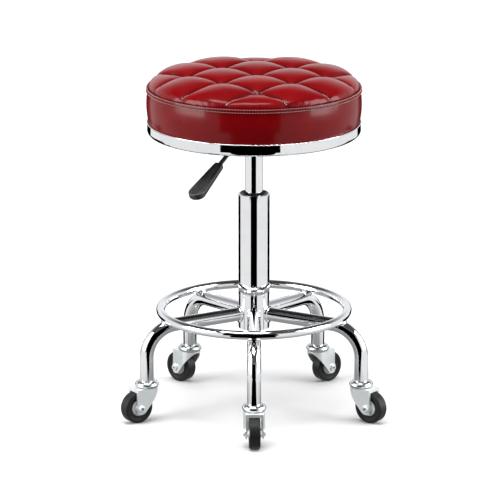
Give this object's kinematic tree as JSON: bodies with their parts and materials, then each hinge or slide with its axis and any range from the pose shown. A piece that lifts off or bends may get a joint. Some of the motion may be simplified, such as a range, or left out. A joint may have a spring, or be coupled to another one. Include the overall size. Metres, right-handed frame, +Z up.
{
  "type": "rolling stool",
  "caption": "Round quilted swivel stool on a gas lift, with a bent-tube base, a foot ring, swivel casters and a lever under the seat for height.",
  "frame": {"origin": "on the floor, on the axis of the column", "axes": "+Z up along the column; -Y towards the front leg; +X to the right seen from the front"},
  "size_m": [0.4242, 0.4073, 0.5625],
  "materials": {
    "chrome_tube": "bright chrome plate",
    "zinc_plate": "bright zinc plate",
    "ground_steel": "ground bearing steel",
    "black_steel": "black powder coat",
    "black_plastic": "moulded, satin black",
    "grey_plastic": "moulded, pale grey",
    "black_rubber": "moulded black rubber",
    "red_leather": "glossy coated upholstery leather",
    "foam": "cut polyurethane foam",
    "plywood": "raw birch plywood",
    "black_cloth": "non-woven dust cloth"
  },
  "bodies": {
    "base": {"centre_tube": "chrome_tube", "leg_front": "chrome_tube", "leg_front_right": "chrome_tube", "leg_back_right": "chrome_tube", "leg_back_left": "chrome_tube", "leg_front_left": "chrome_tube", "leg_welds": "chrome_tube", "foot_ring": "chrome_tube", "stem_sockets": "grey_plastic", "caster_stems": "zinc_plate", "swivel_caps": "chrome_tube", "swivel_balls": "ground_steel", "column_cap": "black_plastic", "guide_bush": "grey_plastic", "floor_plate": "zinc_plate", "lower_race": "ground_steel"},
    "bearing_cage": {"ball_cage": "grey_plastic", "thrust_balls": "ground_steel"},
    "lift_rod": {"piston_rod": "ground_steel", "piston": "black_rubber", "upper_race": "ground_steel", "retaining_clip": "zinc_plate", "bump_stop": "black_rubber"},
    "seat": {"gas_cylinder": "chrome_tube", "rod_gland": "grey_plastic", "taper_socket": "black_steel", "seat_plate": "black_steel", "lever_ears": "black_steel", "pivot_pin": "zinc_plate", "seat_board": "plywood", "tee_nuts": "zinc_plate", "seat_bolts": "zinc_plate", "foam_pad": "foam", "side_band": "red_leather", "top_panel": "red_leather", "trim_ring": "chrome_tube", "dust_cover": "black_cloth"},
    "lever": {"lever_rod": "black_steel", "lever_paddle": "black_plastic"},
    "release_button": {"release_pin": "ground_steel"},
    "caster_front": {"fork_front": "zinc_plate", "axle_rivet_front": "zinc_plate"},
    "wheel_front": {"tyre_front": "black_rubber", "wheel_hub_front": "grey_plastic"},
    "caster_front_right": {"fork_front_right": "zinc_plate", "axle_rivet_front_right": "zinc_plate"},
    "wheel_front_right": {"tyre_front_right": "black_rubber", "wheel_hub_front_right": "grey_plastic"},
    "caster_back_right": {"fork_back_right": "zinc_plate", "axle_rivet_back_right": "zinc_plate"},
    "wheel_back_right": {"tyre_back_right": "black_rubber", "wheel_hub_back_right": "grey_plastic"},
    "caster_back_left": {"fork_back_left": "zinc_plate", "axle_rivet_back_left": "zinc_plate"},
    "wheel_back_left": {"tyre_back_left": "black_rubber", "wheel_hub_back_left": "grey_plastic"},
    "caster_front_left": {"fork_front_left": "zinc_plate", "axle_rivet_front_left": "zinc_plate"},
    "wheel_front_left": {"tyre_front_left": "black_rubber", "wheel_hub_front_left": "grey_plastic"}
  },
  "joints": [
    {"name": "seat_swivel", "type": "hinge", "parent": "base", "child": "lift_rod", "pos_m": [0, 0, 0.1475], "axis": [0, 0, 1], "continuous": true},
    {"name": "seat_height", "type": "slide", "parent": "lift_rod", "child": "seat", "axis": [0, 0, 1], "range_m": [-0.05, 0.07]},
    {"name": "height_lever", "type": "hinge", "parent": "seat", "child": "lever", "pos_m": [-0.012, -0.02079, 0.4515], "axis": [-0.866, 0.5, 0], "range_deg": [0, 8], "stiffness_Nm_per_rad": 1.5, "springref_deg": -6.88},
    {"name": "release_travel", "type": "slide", "parent": "seat", "child": "release_button", "axis": [0, 0, 1], "range_m": [-0.0045, 0]},
    {"name": "cage_turn", "type": "hinge", "parent": "base", "child": "bearing_cage", "pos_m": [0, 0, 0.151], "axis": [0, 0, 1], "continuous": true},
    {"name": "caster_swivel_front", "type": "hinge", "parent": "base", "child": "caster_front", "pos_m": [0, -0.18, 0.055], "axis": [0, 0, 1], "continuous": true},
    {"name": "wheel_spin_front", "type": "hinge", "parent": "caster_front", "child": "wheel_front", "pos_m": [0.0007, -0.19999, 0.0254], "axis": [0.9994, 0.0349, 0], "continuous": true},
    {"name": "caster_swivel_front_right", "type": "hinge", "parent": "base", "child": "caster_front_right", "pos_m": [0.17119, -0.05562, 0.055], "axis": [0, 0, 1], "continuous": true},
    {"name": "wheel_spin_front_right", "type": "hinge", "parent": "caster_front_right", "child": "wheel_front_right", "pos_m": [0.18695, -0.06794, 0.0254], "axis": [0.6157, 0.788, 0], "continuous": true},
    {"name": "caster_swivel_back_right", "type": "hinge", "parent": "base", "child": "caster_back_right", "pos_m": [0.1058, 0.14562, 0.055], "axis": [0, 0, 1], "continuous": true},
    {"name": "wheel_spin_back_right", "type": "hinge", "parent": "caster_back_right", "child": "wheel_back_right", "pos_m": [0.12112, 0.15848, 0.0254], "axis": [-0.6428, 0.766, 0], "continuous": true},
    {"name": "caster_swivel_back_left", "type": "hinge", "parent": "base", "child": "caster_back_left", "pos_m": [-0.1058, 0.14562, 0.055], "axis": [0, 0, 1], "continuous": true},
    {"name": "wheel_spin_back_left", "type": "hinge", "parent": "caster_back_left", "child": "wheel_back_left", "pos_m": [-0.12066, 0.15901, 0.0254], "axis": [-0.6691, -0.7431, 0], "continuous": true},
    {"name": "caster_swivel_front_left", "type": "hinge", "parent": "base", "child": "caster_front_left", "pos_m": [-0.17119, -0.05562, 0.055], "axis": [0, 0, 1], "continuous": true},
    {"name": "wheel_spin_front_left", "type": "hinge", "parent": "caster_front_left", "child": "wheel_front_left", "pos_m": [-0.18757, -0.0671, 0.0254], "axis": [0.5736, -0.8192, 0], "continuous": true}
  ],
  "couplings": [
    {"joint": "release_travel", "follows": "height_lever", "m_per_rad": -0.026},
    {"joint": "cage_turn", "follows": "seat_swivel", "ratio": 0.5}
  ]
}
